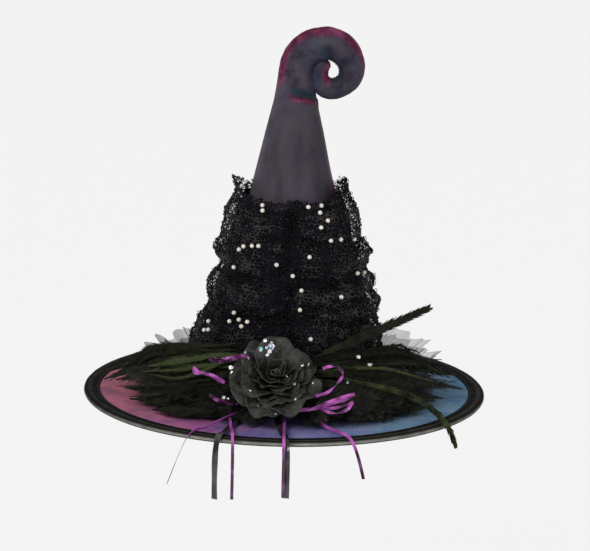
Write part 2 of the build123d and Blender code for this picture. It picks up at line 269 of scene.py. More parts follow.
def make_trim_materials():
    cloth("lace_net", (0.004, 0.004, 0.005), (0.018, 0.016, 0.027), 0.7, 0.06, 0.0, alpha=0.26)
    cloth("lace_under", (0.003, 0.003, 0.004), (0.020, 0.017, 0.027), 0.7, 0.04, 0.0, patch=30, alpha=0.9)
    cloth("tulle_edge", (0.07, 0.07, 0.07), (0.13, 0.13, 0.13), 0.8, 0.05, 0.0, alpha=0.3)
    shader = cloth("tulle", (0.13, 0.13, 0.13), (0.25, 0.25, 0.25), 0.8, 0.05, 0.0, patch=90)
    # Darker and less clear where tone is high; tone includes painted shade on the folds.
    shader.paint(shader.mix(shader.value("tone"), shader.base(), (0.025, 0.025, 0.025)))
    shader.put("Alpha", shader.plus(0.41, shader.value("tone"), 0.38))

    for name, dark, light, roughness, specular, alpha in (
            ("petal_satin", (0.003, 0.003, 0.002), (0.020, 0.019, 0.015), 0.38, 0.22, 1.0),
            ("petal_sheer", (0.005, 0.005, 0.004), (0.080, 0.078, 0.068), 0.42, 0.20, 0.82)):
        shader = cloth(name, dark, light, roughness, specular, 0.0, patch=90, crumple=0.5, alpha=alpha)
        # Painted highlight: the rim value lightens the petals' edges.
        shader.paint(shader.mix(shader.value("rim"), shader.base(), (0.100, 0.098, 0.082)))
        shader.bump(shader.noise(170.0, 4.0, (1, 1, 2.2)), 2.2)

    shader = Shader("lace_cord", 0.5, 0.12)
    # Painted light and shade from the lace's tone, with light specks painted on as glints.
    shade_and_glints = shader.plus(shader.value("tone"), shader.noise(260.0, 2.0), 0.7)
    shader.paint(shader.ramp(shade_and_glints, (0.35, 0.002), (0.75, (0.011, 0.010, 0.011)), (1.15, (0.040, 0.037, 0.036))))
    shader.bump(shader.noise(900.0, 2.0), 0.05)

    # The olive-green material is a painted sheen: the green shine of the cock's feathers laid into their colour.
    for name, dark, light in (("feather_black", (0.0025, 0.0028, 0.0018), (0.021, 0.023, 0.012)),
                              ("feather_olive", (0.004, 0.006, 0.003), (0.052, 0.066, 0.026)),
                              ("down", (0.009, 0.009, 0.008), (0.048, 0.047, 0.040))):
        shader = Shader(name, 0.5, 0.08)
        tone = shader.plus(shader.noise(90.0), shader.value("tone"), 0.45)
        shader.paint(shader.ramp(tone, (0.45, dark), (0.85, light)))
        shader.bump(shader.noise(900.0, 2.0), 0.05)

    for name, dark, light in (("purple_ribbon", (0.050, 0.006, 0.042), (0.540, 0.115, 0.500)),
                              ("black_ribbon", (0.012, 0.012, 0.011), (0.080, 0.081, 0.077))):
        shader = Shader(name, 0.22, 0.6, Anisotropic=0.5)
        # tone paints highlights and shade onto the ribbon's own purple or black, varying at random along it.
        tone = shader.plus(shader.noise(85.0), shader.value("tone"), 0.5)
        shader.paint(shader.ramp(tone, (0.45, dark), (0.95, light)))
        shader.bump(shader.noise(500.0, 2.0), 0.08)

    shader = Shader("wire", 0.35, 0.5, Metallic=1.0)
    shader.paint(shader.ramp(shader.noise(200.0), (0.3, (0.35, 0.35, 0.36)), (0.7, 0.6)))
    shader = Shader("pearl", 0.18, 0.6, Coat_Weight=0.6, Coat_Roughness=0.08)
    shader.paint(shader.ramp(shader.noise(600.0, 2.0), (0.35, (0.74, 0.64, 0.52)), (0.7, (0.95, 0.91, 0.84))))
    # Painted light: the sequins glow faintly in their own hues.
    shader = Shader("sequin", 0.12, 0.9, Metallic=0.55, Coat_Weight=0.8, Emission_Strength=0.12)
    hues = shader.ramp(shader.value("tone"), (0.0, (0.90, 0.92, 0.90)), (0.3, (0.85, 0.55, 0.80)),
                       (0.5, (0.95, 0.93, 0.80)), (0.7, (0.35, 0.80, 0.85)), (1.0, (0.80, 0.85, 0.95)))
    shader.paint(hues)
    shader.put("Emission Color", hues)


make_satins()
make_trim_materials()


# ------------------------------------------------------------------ mesh helpers
def ease(low, high, value):
    """A smooth step from 0 at low to 1 at high."""
    share = min(max((value - low) / (high - low), 0.0), 1.0)
    return share * share * (3 - 2 * share)


def blend_points(stops, position):
    """Smoothly reads a list of (position, value) stops."""
    for (low, first), (high, second) in zip(stops, stops[1:]):
        if position <= high:
            return first + (second - first) * ease(low, high, position)
    return stops[-1][1]


def rough(x, y, z):
    return noise.noise(Vector((x, y, z)))


def wobble(point, scale):
    return noise.fractal(Vector(point) * scale, 1.0, 2.0, 2)


def hill(value, middle, width):
    """A soft bump of height 1."""
    return exp(-((value - middle) / width) ** 2)


def away(turn, rise):
    """Outward from the crown at an angle from the front (positive to the right), and a little upward."""
    return Vector((sin(turn), -cos(turn), rise)).normalized()


def scatter(rng, x, y, z):
    return Vector((rng.gauss(0, x), rng.gauss(0, y), rng.gauss(0, z)))


def run_at(line, index):
    """The direction of a line of points at one of them."""
    return (line[min(index + 1, len(line) - 1)] - line[max(index - 1, 0)]).normalized()


def bend(points, share):
    """A point on the smooth curve through three or more points (Catmull-Rom)."""
    spans = len(points) - 1
    place = min(share * spans, spans - 1e-6)
    index = int(place)
    t = place - index
    p1, p2 = points[index], points[index + 1]
    p0 = points[index - 1] if index else p1 * 2 - p2
    p3 = points[index + 2] if index + 2 <= spans else p2 * 2 - p1
    return 0.5 * (p1 * 2 + (p2 - p0) * t + (p0 * 2 - p1 * 5 + p2 * 4 - p3) * t**2
                  + (p1 * 3 - p0 - p2 * 3 + p3) * t**3)


class Shape:
    """Points in millimetres, faces and named numbers at the points, gathered into one mesh."""

    def __init__(self, *names):
        self.points, self.faces, self.values = [], [], {name: [] for name in names}

    def add(self, point, **values):
        self.points.append(point)
        for name, numbers in self.values.items():
            numbers.append(values.get(name, 0.0))
        return len(self.points) - 1

    def bridge(self, first, rows, columns, around=True):
        """Quads between rows of points; around joins each row's ends."""
        for row in range(rows - 1):
            for column in range(columns if around else columns - 1):
                a, b = first + row * columns + column, first + row * columns + (column + 1) % columns
                self.faces.append((a, b, b + columns, a + columns))

    def cap(self, first, rows, columns):
        """Closes the first and last of such rows."""
        last = first + (rows - 1) * columns
        self.faces += [tuple(range(first + columns - 1, first - 1, -1)), tuple(range(last, last + columns))]

    def grid(self, rows, columns, place, around=False):
        """A sheet of quads.  place(row, column) gives (point, {name: number}); around joins the columns' ends."""
        first = len(self.points)
        for row in range(rows):
            for column in range(columns):
                point, values = place(row, column)
                self.add(point, **values)
        self.bridge(first, rows, columns, around)

    def tube(self, line, radii, sides=6, **values):
        """A round tube along a line of points, with one radius or one at each point."""
        first, before = len(self.points), None
        for index, point in enumerate(line):
            run = run_at(line, index)
            side = run.orthogonal() if before is None else before - run * before.dot(run)
            side = side.normalized() if side.length > 1e-9 else run.orthogonal().normalized()
            before = side
            other = run.cross(side)
            radius = radii[index] if hasattr(radii, "__len__") else radii
            for step in range(sides):
                angle = 2 * pi * step / sides
                self.add(point + (side * cos(angle) + other * sin(angle)) * radius, **values)
        self.bridge(first, len(line), sides)
        self.cap(first, len(line), sides)

    def ribbon(self, line, sides, width, thickness, tones):
        """A flat band with a closed section, from side vectors across it and a tone at each point."""
        first = len(self.points)
        for index, (point, side, tone) in enumerate(zip(line, sides, tones)):
            run = run_at(line, index)
            side = (side - run * side.dot(run)).normalized()
            up = run.cross(side) * thickness / 2
            half = side * width / 2
            for corner in (half + up, up, -half + up, -half - up, -up, half - up):
                self.add(point + corner, tone=tone)
        self.bridge(first, len(line), 6)
        self.cap(first, len(line), 6)

    def blob(self, centre, radius, rings, around, flat=(UP, 1.0), **values):
        """A small closed ball, flattened by a share along a direction."""
        first = len(self.points)
        axis, share = flat[0].normalized(), flat[1]
        side = axis.orthogonal().normalized()
        other = axis.cross(side)
        self.add(centre + axis * radius * share, **values)
        for ring in range(1, rings):
            tilt = pi * ring / rings
            for step in range(around):
                turn = 2 * pi * step / around
                self.add(centre + axis * radius * share * cos(tilt)
                         + (side * cos(turn) + other * sin(turn)) * radius * sin(tilt), **values)
        last = self.add(centre - axis * radius * share, **values)
        for step in range(around):
            self.faces.append((first, first + 1 + step, first + 1 + (step + 1) % around))
            for ring in range(rings - 2):
                a = first + 1 + ring * around
                b, c = a + step, a + (step + 1) % around
                self.faces.append((b, b + around, c + around, c))
            tail = first + 1 + (rings - 2) * around
            self.faces.append((last, tail + (step + 1) % around, tail + step))

    def make(self, name, material, slot, replaces=(), smooth=True, thickness=0.0):
        """The mesh as a visible piece that rides on the body, in a material; slot is not used."""
        mesh = bpy.data.meshes.new(name)
        mesh.from_pydata([tuple(x * MM for x in point) for point in self.points], [], self.faces)
        for key, numbers in self.values.items():
            mesh.attributes.new(key, "FLOAT", "POINT").data.foreach_set("value", numbers)
        mesh.polygons.foreach_set("use_smooth", [smooth] * len(mesh.polygons))
        mesh.update()
        piece = bpy.data.objects.new(name, mesh)
        scene.collection.objects.link(piece)
        mesh.materials.append(materials[material])
        if thickness:
            solid = piece.modifiers.new("thickness", "SOLIDIFY")
            solid.thickness, solid.offset = thickness * MM, 0
        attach(piece, "root")
        if replaces:
            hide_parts(*replaces)
        return piece


# ------------------------------------------------------------------ ribbon tails (free cords)
NARROW, WIDE = 3.4, 7.0
# Each tail: foot, way out, width, length, twist at its start and end, and its route as (outward, height).
TAILS = {
    "purple_tail_far_left": ((-31, -132), (-0.773, -0.634), NARROW, 146, (1.0, 0.66),
        [(0, 21), (18, 18), (36, 16), (54, 11), (68, 7.8), (80, 9), (91, 0), (99, -14), (107, -29), (115, -45)]),
    "purple_tail_left": ((-57, -122), (0.055, -0.9985), NARROW, 152, (0.7, 0.3),
        [(0, 19), (18, 12), (40, 8.6), (60, 8.6), (77, 10.6), (87.5, 2.6), (91, -14), (92, -35), (91, -58)]),
    "black_tail_left": ((-42, -116), (-0.29, -0.957), WIDE, 157, (0.2, 0.3),
        [(0, 17), (18, 10.5), (42, 6.8), (66, 6.6), (84, 8.4), (95, 0), (98, -17), (98.5, -38), (97, -59)]),
    "purple_tail_middle": ((1, -124), (0, -1), NARROW, 154, (0.6, -0.5),
        [(0, 19), (18, 12), (40, 8.8), (62, 8.8), (83, 11.4), (96, 3), (99.5, -13), (100, -32), (99, -52)]),
    "black_tail_right": ((-9, -118), (0.13, -0.9915), WIDE, 157, (0.1, 0.25),
        [(0, 17), (18, 10.5), (42, 6.6), (68, 6.4), (88, 8.2), (99.5, 0), (102.5, -16), (102.5, -34), (101, -54)]),
    "purple_tail_right": ((20, -118), (0.52, -0.854), NARROW, 145, (0.8, 0.3),
        [(0, 18), (20, 11.5), (44, 7.6), (68, 7.6), (89, 9.6), (103, 3.4), (112, -8), (118.5, -19), (124, -30)]),
}


def spline_line(name, points):
    """The smooth line that a NURBS spline draws through its control points, as points in millimetres."""
    data = bpy.data.curves.new(name, "CURVE")
    data.dimensions = "3D"
    data.resolution_u = 8
    spline = data.splines.new("NURBS")
    spline.points.add(len(points) - 1)
    for target, point in zip(spline.points, points):
        target.co = (*(x * MM for x in point), 1)
    spline.order_u = 3
    spline.use_endpoint_u = True
    holder = bpy.data.objects.new(name, data)
    line = bpy.data.meshes.new_from_object(holder)
    found = [vertex.co / MM for vertex in line.vertices]
    bpy.data.objects.remove(holder)
    bpy.data.meshes.remove(line)
    return found


def make_tails():
    for name, (foot, outward, width, length, twist, route) in TAILS.items():
        line = spline_line(name + "_route", [(foot[0] + outward[0] * out, foot[1] + outward[1] * out, height)
                                             for out, height in route])
        across = Vector((-outward[1], outward[0], 0))
        sides, tones = [], []
        for index, point in enumerate(line):
            share = index / (len(line) - 1)
            turn = twist[0] + (twist[1] - twist[0]) * ease(0.5, 0.75, share) + 0.12 * sin(index * 0.35)
            sides.append(across * cos(turn) + run_at(line, index).cross(across) * sin(turn))
            # Painted shade: the narrow purple tails turn darker where they hang below the brim; the black ones keep one
            # level.
            level = 0.75 - 0.9 * ease(0.55, 0.8, share) if width == NARROW else 0.2
            tones.append(level + 0.7 * noise.noise(point / 14.0))
        shape = Shape("tone")
        shape.ribbon(line, sides, width, 0.35, tones)
        colour = "black_ribbon" if name.startswith("black") else "purple_ribbon"
        tail = shape.make(name + "_ribbon", colour, colour, [name], smooth=False)


make_tails()


# ------------------------------------------------------------------ crown and curl
# The cone's rings as (height, how far its middle leans right, radius); the curl's arcs as (radius, degrees).
CROWN_FOOT, CROWN_WAIST, CROWN_NECK = (3.2, 0.0, 99.0), (215.0, 5.0, 44.8), (318.0, 5.5, 22.3)
NECK_LENGTH = 31.0
CURL_TURNS = ((31.0, 90), (27.4, 90), (20.0, 90), (13.0, 90), (20.0, 35))


def crown_at(height):
    """The lean and radius of the cone at a height."""
    low, high = (CROWN_FOOT, CROWN_WAIST) if height < CROWN_WAIST[0] else (CROWN_WAIST, CROWN_NECK)
    share = (height - low[0]) / (high[0] - low[0])
    return low[1] + share * (high[1] - low[1]), low[2] + share * (high[2] - low[2])


def curl_line(step):
    """Points of the curl's middle line as (x, z, direction in degrees, distance along)."""
    x, z, heading, along = CROWN_NECK[1], CROWN_NECK[0], 90.0, 0.0
    found = []
    count = ceil(NECK_LENGTH / step)
    for index in range(count):
        found.append((x, z + NECK_LENGTH * index / count, heading, NECK_LENGTH * index / count))
    z += NECK_LENGTH
    along = NECK_LENGTH
    for radius, turn in CURL_TURNS:
        centre = (x + radius * sin(radians(heading)), z - radius * cos(radians(heading)))
        length = radians(turn) * radius
        count = ceil(length / step)
        for index in range(count):
            angle = heading - turn * index / count
            found.append((centre[0] - radius * sin(radians(angle)), centre[1] + radius * cos(radians(angle)), angle,
                          along + length * index / count))
        heading -= turn
        along += length
        x, z = centre[0] - radius * sin(radians(heading)), centre[1] + radius * cos(radians(heading))
    found.append((x, z, heading, along))
    return found


def curl_radius(along):
    """The curl's radius at a distance along its middle line."""
    up_the_neck = CROWN_NECK[2] - 0.155 * along
    to_the_tip = 16.8 - 0.099 * max(along - 80.0, 0.0)
    return min(max(up_the_neck, 16.8), to_the_tip) if along > 36 else up_the_neck


def patch_at(point, x, z, wide, tall):
    """A soft patch of height 1 on the front."""
    return exp(-((point.x - x) / wide) ** 2 - ((point.z - z) / tall) ** 2)


def make_crown():
    """One skin from brim to tip, cut at the neck into the cone's cover and the curl's cover."""
    rings = []
    heights = [CROWN_FOOT[0] + (CROWN_NECK[0] - CROWN_FOOT[0]) * index / 130 for index in range(130)]
    for height in heights:
        lean, radius = crown_at(height)
        rings.append((lean, height, 90.0, radius, height))
    line = curl_line(1.3)
    for x, z, heading, along in line:
        rings.append((x, z, heading, curl_radius(along), CROWN_NECK[0] + along))
    x, z, heading, along = line[-1]
    tip = curl_radius(along)
    for tilt in (15, 30, 45, 60, 72, 82, 88):
        ahead = tip * sin(radians(tilt))
        rings.append((x + ahead * cos(radians(heading)), z + ahead * sin(radians(heading)), heading,
                      tip * cos(radians(tilt)), CROWN_NECK[0] + along + ahead))
    end = rings[-1][4]
    columns = 112
    shape = Shape("wine", "teal", "smoke")

    def place(row, column):
        x, z, heading, radius, along = rings[row]
        angle = 2 * pi * column / columns
        outward = Vector((-sin(radians(heading)), 0, cos(radians(heading))))
        way = outward * cos(angle) + Vector((0, 1, 0)) * sin(angle)
        point = Vector((x, 0, z)) + way * radius
        inner, front = max(0.0, -cos(angle)), max(0.0, -sin(angle))
        # Soft hollows of hand-stretched satin, long and upright on the cone.
        depth = 0.45 + 0.8 * wobble((point.x, point.y, point.z * 0.35), 0.028) * min(radius / 25, 1.4)
        # A slack pucker low on the right of the front.
        depth += 1.0 * exp(-((point.x - 26) / 9) ** 2 - ((point.z - 236 - 0.8 * (point.x - 26)) / 11) ** 2) * front
        # The fold where the curl begins: a lip over a groove, on the right half of the front.
        across = ease(-8, 6, point.x) * ease(-0.1, 0.4, front)
        at = along + 0.28 * (point.x - 14)
        depth += across * (2.8 * ease(309, 322, at) * (1 - ease(323.5, 326.5, at)) + 1.2 * ease(330, 342, at))
        # Crinkles where the satin is taken up inside the curl, and light ones on its cheeks.
        taken = ease(336, 362, along) * (1 - ease(end - 26, end, along))
        crinkle = sin(along * 1.25 + 2.2 * sin(angle * 2) + 3 * wobble(point, 0.06))
        depth += taken * crinkle * (0.75 * inner**1.3 + 0.14 * front)
        depth += taken * 0.5 * wobble(point, 0.11)
        # The outer ridge is pinched a little, as over a seam.
        depth += 3.2 * ease(end - 52, end - 26, along) * max(0.0, cos(angle)) ** 0.8
        depth += 0.55 * ease(332, 356, along) * exp(-(degrees(atan2(sin(angle), cos(angle))) / 13) ** 2)
        # Painted light and shade: a crimson sheen on the curl's outer ridge, on its inner side near the tip, along the
        # lip of the fold and low on the cone's right side; a dark teal shade on the curl's inner side, in the groove
        # above the lip, over the curl's end and in three patches on its front.
        ridge = ease(0.50, 0.93, cos(angle) + 0.10 * wobble(point, 0.05))
        wine = ridge * ease(322, 352, along) * (1 - 0.85 * ease(end - 88, end - 60, along))
        wine = max(wine, ease(-0.1, 0.5, -cos(angle)) * ease(end - 40, end - 26, along) * 0.9)
        wine = max(wine, across * exp(-((at - 322.5) / 2.4) ** 2) * (1 - ease(20, 27, point.x)))
        wine = max(wine, 0.55 * ease(0.85, 1.0, -cos(angle)) * (1 - ease(205, 260, along)))
        teal = ease(0.25, 0.95, inner) * ease(345, 372, along) * 0.9 + across * 0.95 * exp(-((at - 330) / 5.0) ** 2)
        teal = max(teal, 0.28 * ease(345, 380, along), 0.9 * patch_at(point, 38, 372, 13.04, 13.04) * front,
                   0.95 * patch_at(point, 27, 345, 8, 15) * front, 0.60 * patch_at(point, 20, 362, 11, 10) * front)
        smoke = ease(296, 345, along) + 0.5 * ease(0.6, 1.0, cos(angle)) * ease(212, 250, along)
        tones = {"wine": wine, "teal": teal, "smoke": smoke}
        return point + way * max(depth, -0.3), {key: min(number, 1.0) for key, number in tones.items()}

    shape.grid(len(rings), columns, place, around=True)
    shape.faces.append(tuple(range((len(rings) - 1) * columns, len(rings) * columns)))
    whole = bpy.data.meshes.new("whole")
    whole.from_pydata([tuple(point) for point in shape.points], [], shape.faces)
    normals = [vertex.normal.copy() for vertex in whole.vertices]
    bpy.data.meshes.remove(whole)
    neck_row = len(heights)
    parts = (("crown_satin_cone", 0, neck_row + 1, "crown_satin", "crown_cover"),
             ("crown_satin_curl", neck_row, len(rings), "curl_satin", "curl_cover"))
    for name, first, last, slot, node in parts:
        part = Shape("wine", "teal", "smoke")
        low, high = first * columns, last * columns
        part.points = shape.points[low:high]
        part.values = {key: numbers[low:high] for key, numbers in shape.values.items()}
        part.faces = [tuple(i - low for i in face) for face in shape.faces if low <= min(face) and max(face) < high]
        piece = part.make(name, "crown_satin", slot, [node])
        piece.data.normals_split_custom_set_from_vertices(normals[low:high])


make_crown()


# ------------------------------------------------------------------ brim edge
BRIM_RADIUS, ROLL_RADIUS, ROLL_HEIGHT, FLAP_WIDTH = 210.0, 3.2, 1.6, 13.0


def make_binding():
    """The binding: two flaps and a rolled edge, with the slight puckers of a bias strip pulled round a curve."""
    centre = BRIM_RADIUS - ROLL_RADIUS
    inner = centre - FLAP_WIDTH
    # The section as (radius, height, share of the painted highlight).
    profile = [(inner, 3.35, 0.0), (inner - 0.5, 3.9, 0.0), (inner, 4.35, 0.0), (inner + 2.0, 4.1, 0.0),
               (centre - 6.0, 4.35, 0.0), (centre - 3.0, 4.45, 0.2)]
    for tilt in range(78, -100, -16):
        profile.append((centre + ROLL_RADIUS * cos(radians(tilt)), ROLL_HEIGHT + ROLL_RADIUS * sin(radians(tilt)),
                        hill(tilt, -2, 26)))
    profile += [(centre - 3.0, -1.3, 0.0), (inner + 2.0, -1.0, 0.0), (inner, -1.15, 0.0), (inner - 0.5, -0.7, 0.0),
                (inner, -0.15, 0.0)]
    columns = 900
    shape = Shape("roll")

    def place(row, column):
        radius, height, roll = profile[row]
        turn = 2 * pi * column / columns
        way = Vector((cos(turn), sin(turn), 0))
        pucker = 0.07 * sin(turn * 130 + 2.5 * wobble(way * 4, 1.0)) * (1 - ease(centre - 4, centre + 2, radius))
        wave = 0.35 * wobble(way * 9 + Vector((0, 0, height * 0.2)), 1.0)
        if height < 1:
            pucker = -pucker
        seam = 0.5 * exp(-((turn - pi * 0.53) * radius / 1.6) ** 2) * (1 if height > ROLL_HEIGHT else -1)
        point = way * (radius + wave * 0.5) + UP * (height + pucker + seam + wave * 0.3 * (height > ROLL_HEIGHT))
        # The painted highlight is strongest towards the front and the right, and uneven at random.
        sheen = 0.42 + 0.58 * ease(0.35, 0.95, -way.y) + 0.18 * ease(0.5, 1.0, way.x)
        return point, {"roll": roll * sheen * (0.8 + 0.4 * wobble(way * 14, 1.0))}

    shape.grid(len(profile), columns, place, around=True)
    shape.make("brim_binding_satin", "binding_satin", "binding_satin", ["brim_binding"])

    stitches = Shape()
    radius, count = inner + 1.4, 360
    for face, height in ((1, 4.45), (-1, -1.15)):
        for index in range(count):
            turn = 2 * pi * (index + 0.2) / count
            line = []
            for share in (-1, -0.6, 0, 0.6, 1):
                angle = turn + share * 0.30 * 2 * pi / count
                line.append(Vector((radius * cos(angle), radius * sin(angle), height - face * 0.28 * share**2)))
            stitches.tube(line, [0.12, 0.24, 0.27, 0.24, 0.12], 5)
    stitches.make("binding_stitches", "stitch", "thread")


make_binding()

# Plain pieces keep their CAD shapes and only take a material.
for node, material in (("brim_top_cover", "brim_satin"), ("brim_under_cover", "under_satin"), ("brim_board", "buckram"),
                       ("brim_wire", "wire"), ("crown_board", "buckram"), ("crown_lining", "lining"),
                       ("sweatband", "sweatband"), ("curl_stuffing", "stuffing"), ("curl_wire", "wire"),
                       ("gathering_threads", "thread"), ("rose_backing", "felt"), ("feather_pad_left", "felt"),
                       ("feather_pad_right", "felt")):
    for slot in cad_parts[node].material_slots:
        slot.material = materials[material]


# ------------------------------------------------------------------ lace
LACE_LOW, LACE_TOP, PUFF = 24.0, 222.0, 39.6
# How far the ruched puffs stand off the cone at each side, as (height, offset).
LEFT_PUFFS = [(24, 5), (45, 13), (61, 16), (78, 13), (100, 7), (121, 16), (141, 7), (160, 20), (172, 15), (181, 18),
              (203, 21), (212, 18), (222, 13), (232, 17)]
RIGHT_PUFFS = [(24, 5), (50, 13), (71, 16), (88, 14), (104, 21), (116, 16), (125, 21), (138, 14), (158, 24), (173, 15),
               (188, 19), (206, 19), (215, 13), (223, 10), (232, 9)]


def off_crown(turn, height, offset):
    """The point at a distance off the cone."""
    lean, radius = crown_at(height)
    reach = radius + offset
    return Vector((lean + reach * sin(turn), -reach * cos(turn), height))


def lace_point(turn, height):
    """A point of the ruched lace at an angle from the front (positive to the right) and a height."""
    side = abs(sin(turn)) ** 1.15
    swag = height + 15 * sin(turn) ** 2 + 3 * wobble((cos(turn) * 3, sin(turn) * 3, 0.7), 1.0)
    front = 2.0 + 13.0 * abs(sin(pi * (swag - LACE_LOW) / PUFF)) ** 0.7 * (1 - exp(-(sin(turn) / 0.22) ** 2) * 0.9)
    outer = blend_points(RIGHT_PUFFS if sin(turn) > 0 else LEFT_PUFFS, height)
    offset = front * (1 - side) + outer * side
    girth = turn * crown_at(height)[1]
    # The ruching: soft creases that run up and down near the gathers and sideways between them.
    gather = exp(-(sin(turn) / 0.30) ** 2)
    crease = rough(girth / 5.5, height / 14.0, 3.1) * 3.0 * (0.4 + gather)
    crease += rough(girth / 15.0, swag / 4.2, 8.3) * 4.0
    crease += rough(girth / 3.0, height / 3.0, 1.7) * 1.2
    flare = ease(LACE_TOP - 12, LACE_TOP + 8, height) * abs(sin(turn)) ** 5 * 4
    return off_crown(turn, height, max(offset + crease * min(1.0, offset / 4), 0.7) + flare)


def lace_reach(turn, height):
    """How far the lace lies from the cone's middle line."""
    spot = lace_point(turn, height)
    return Vector((spot.x - crown_at(height)[0], spot.y)).length


def lace_shade(turn, height):
    """Painted light and shade: lighter on the puffs' crests and dark in the gathers, in uneven clumps."""
    radius = crown_at(height)[1]
    lift = lace_reach(turn, height) - radius
    clump = rough(turn * radius / 13.0, height / 6.0, 5.5)
    return min(max((lift - 4.0) / 13.0, 0.0), 1.0) * 0.50 + 0.55 * max(clump, -0.4)


def lace_edge(turn):
    """The height of the lace's scalloped top edge."""
    return 218 + 12.5 * abs(sin(turn)) ** 7 + 2.5 * abs(sin(turn * 17)) + 1.5 * sin(turn * 7 + 1)


def under_point(turn, height):
    """A point of the closer layer under the lace, which is ruched less."""
    ruck = 0.45 + 0.2 * rough(turn * 7, height / 5.0, 2.2)
    return off_crown(turn, height, max(1.2, (lace_reach(turn, height) - crown_at(height)[1]) * ruck))


def lace_layer(rows, columns, short, point_at):
    """A sheet of the sleeve from its foot to a little short of the lace's edge."""
    shape = Shape()

    def place(row, column):
        turn = 2 * pi * column / columns - pi
        return point_at(turn, LACE_LOW + (lace_edge(turn) - short - LACE_LOW) * row / (rows - 1)), {}

    shape.grid(rows, columns, place, around=True)
    return shape


# The pattern is drawn on the cone's flat development, a fan of these sizes.
INWARD, UPWARD = CROWN_FOOT[2] - CROWN_WAIST[2], CROWN_WAIST[0] - CROWN_FOOT[0]
SLOPE = sqrt(1 + (INWARD / UPWARD) ** 2)
APEX = CROWN_FOOT[2] / INWARD * UPWARD + CROWN_FOOT[0]
FAN = INWARD / UPWARD / SLOPE
PITCH = 4.0


def flat(turn, height):
    reach = (APEX - height) * SLOPE
    return Vector((reach * cos(turn * FAN), reach * sin(turn * FAN)))


def lift(spot):
    """The angle and height on the cone of a point of the flat development."""
    reach, turn = spot.length, atan2(spot.y, spot.x) / FAN
    return turn, APEX - reach / SLOPE


def in_lace(spot, top, foot):
    """Whether a flat point lies this far inside the lace's top edge and its foot."""
    turn, height = lift(spot)
    return LACE_LOW + foot <= height <= lace_edge(turn) - top


def scatter_flowers(rng):
    """The flowers' middles on the flat development, with their sizes and how they are turned."""
    flowers = []
    for row in range(9):
        height = 32 + row * 24.0
        count = max(6, round(2 * pi * crown_at(height)[1] / 27))
        for index in range(count):
            turn = -pi + 2 * pi * (index + 0.5 * (row % 2) + 0.25 * rng.random()) / count
            middle = flat(turn, height + 5 * (rng.random() - 0.5))
            flowers.append((middle, 6.5 + 3.5 * rng.random(), rng.random() * 6.3))
    return flowers


def scatter_spots(rng):
    """Uneven points all over the flat development, in staggered rings."""
    spots, ring = [], 0
    span = 2 * pi * FAN
    reach = (APEX - 236) * SLOPE
    while reach < (APEX - 25) * SLOPE:
        count = int(reach * span / PITCH)
        for index in range(count):
            angle = -pi * FAN + span * (index + 0.5 * (ring % 2) + 0.55 * (rng.random() - 0.5)) / count
            far = reach + 0.5 * PITCH * (rng.random() - 0.5)
            spots.append(Vector((far * cos(angle), far * sin(angle))))
        reach += PITCH * 0.88
        ring += 1
    return spots


def draw_cords(rng, flowers, cords, motifs):
    """A fine irregular mesh of cords between the middles of triangles, with knots where cords meet."""
    verts, _, faces = delaunay_2d_cdt(scatter_spots(rng), [], [], 0, 0.01)[:3]
    verts = [Vector(v) for v in verts]
    middles, shared = [], {}
    for face in faces:
        middle = (verts[face[0]] + verts[face[1]] + verts[face[2]]) / 3
        longest = max((verts[face[i]] - verts[face[i - 1]]).length for i in range(3))
        if longest > PITCH * 2.6 or not in_lace(middle, 0, 1):
            continue
        for i in range(3):
            shared.setdefault(frozenset((face[i], face[i - 1])), []).append(len(middles))
        middles.append(middle)
    raised = [lace_point(*lift(middle)) for middle in middles]
    shades = [lace_shade(*lift(middle)) for middle in middles]
    outward = [away(lift(middle)[0], 0.25) for middle in middles]
    near_flower = [min((middle - centre).length / size for centre, size, _ in flowers) for middle in middles]
    for a, b in (pair for pair in shared.values() if len(pair) == 2):
        if (raised[a] - raised[b]).length > 14:
            continue
        out = outward[a]
        thick = 0.66 if min(near_flower[a], near_flower[b]) < 1.15 else 0.38
        shade = shades[a] + 0.25 * rng.random() * (thick > 0.5)
        side = (raised[b] - raised[a]).normalized().cross(out).normalized() * thick
        shape = cords[raised[a].y >= 0]
        first = len(shape.points)
        for end in (raised[a], raised[b]):
            for corner in (side - out * 0.1, -side - out * 0.1, out * thick * 0.9):
                shape.add(end + out * 0.4 + corner, tone=shade)
        shape.faces += [(first, first + 1, first + 4, first + 3), (first + 1, first + 2, first + 5, first + 4),
                        (first + 2, first, first + 3, first + 5)]
    for index, (spot, out) in enumerate(zip(raised, outward)):
        if rng.random() < (0.75 if near_flower[index] < 1.3 else 0.30):
            motifs[spot.y >= 0].blob(spot + out * 0.5, 0.8 + 1.0 * rng.random(), 3, 5, (out, 0.5),
                                     tone=shades[index] + 0.5 * rng.random() ** 2)


def draw_petals(rng, flowers, motifs):
    """Filled leaf shapes round each flower's middle."""
    for centre, size, spin in flowers:
        for petal in range(6):
            angle = spin + 2 * pi * petal / 6
            way = Vector((cos(angle), sin(angle)))
            cross = Vector((-way.y, way.x))
            ring_spots = [centre + way * size * (0.62 + 0.40 * cos(t)) + cross * size * 0.24 * sin(t)
                          for t in (2 * pi * step / 10 for step in range(10))]
            middle = centre + way * size * 0.62
            if not in_lace(middle, 3, 4):
                continue
            turn, height = lift(middle)
            top, out = lace_point(turn, height), away(turn, 0.25)
            shape = motifs[top.y >= 0]
            shade = lace_shade(turn, height) + 0.30 * rng.random() ** 2
            hub, under = shape.add(top + out * 1.0, tone=shade), shape.add(top + out * 0.2, tone=shade)
            rim = [shape.add(lace_point(*lift(spot)) + out * 0.5, tone=shade) for spot in ring_spots]
            for step in range(10):
                shape.faces.append((hub, rim[step], rim[(step + 1) % 10]))
                shape.faces.append((under, rim[(step + 1) % 10], rim[step]))


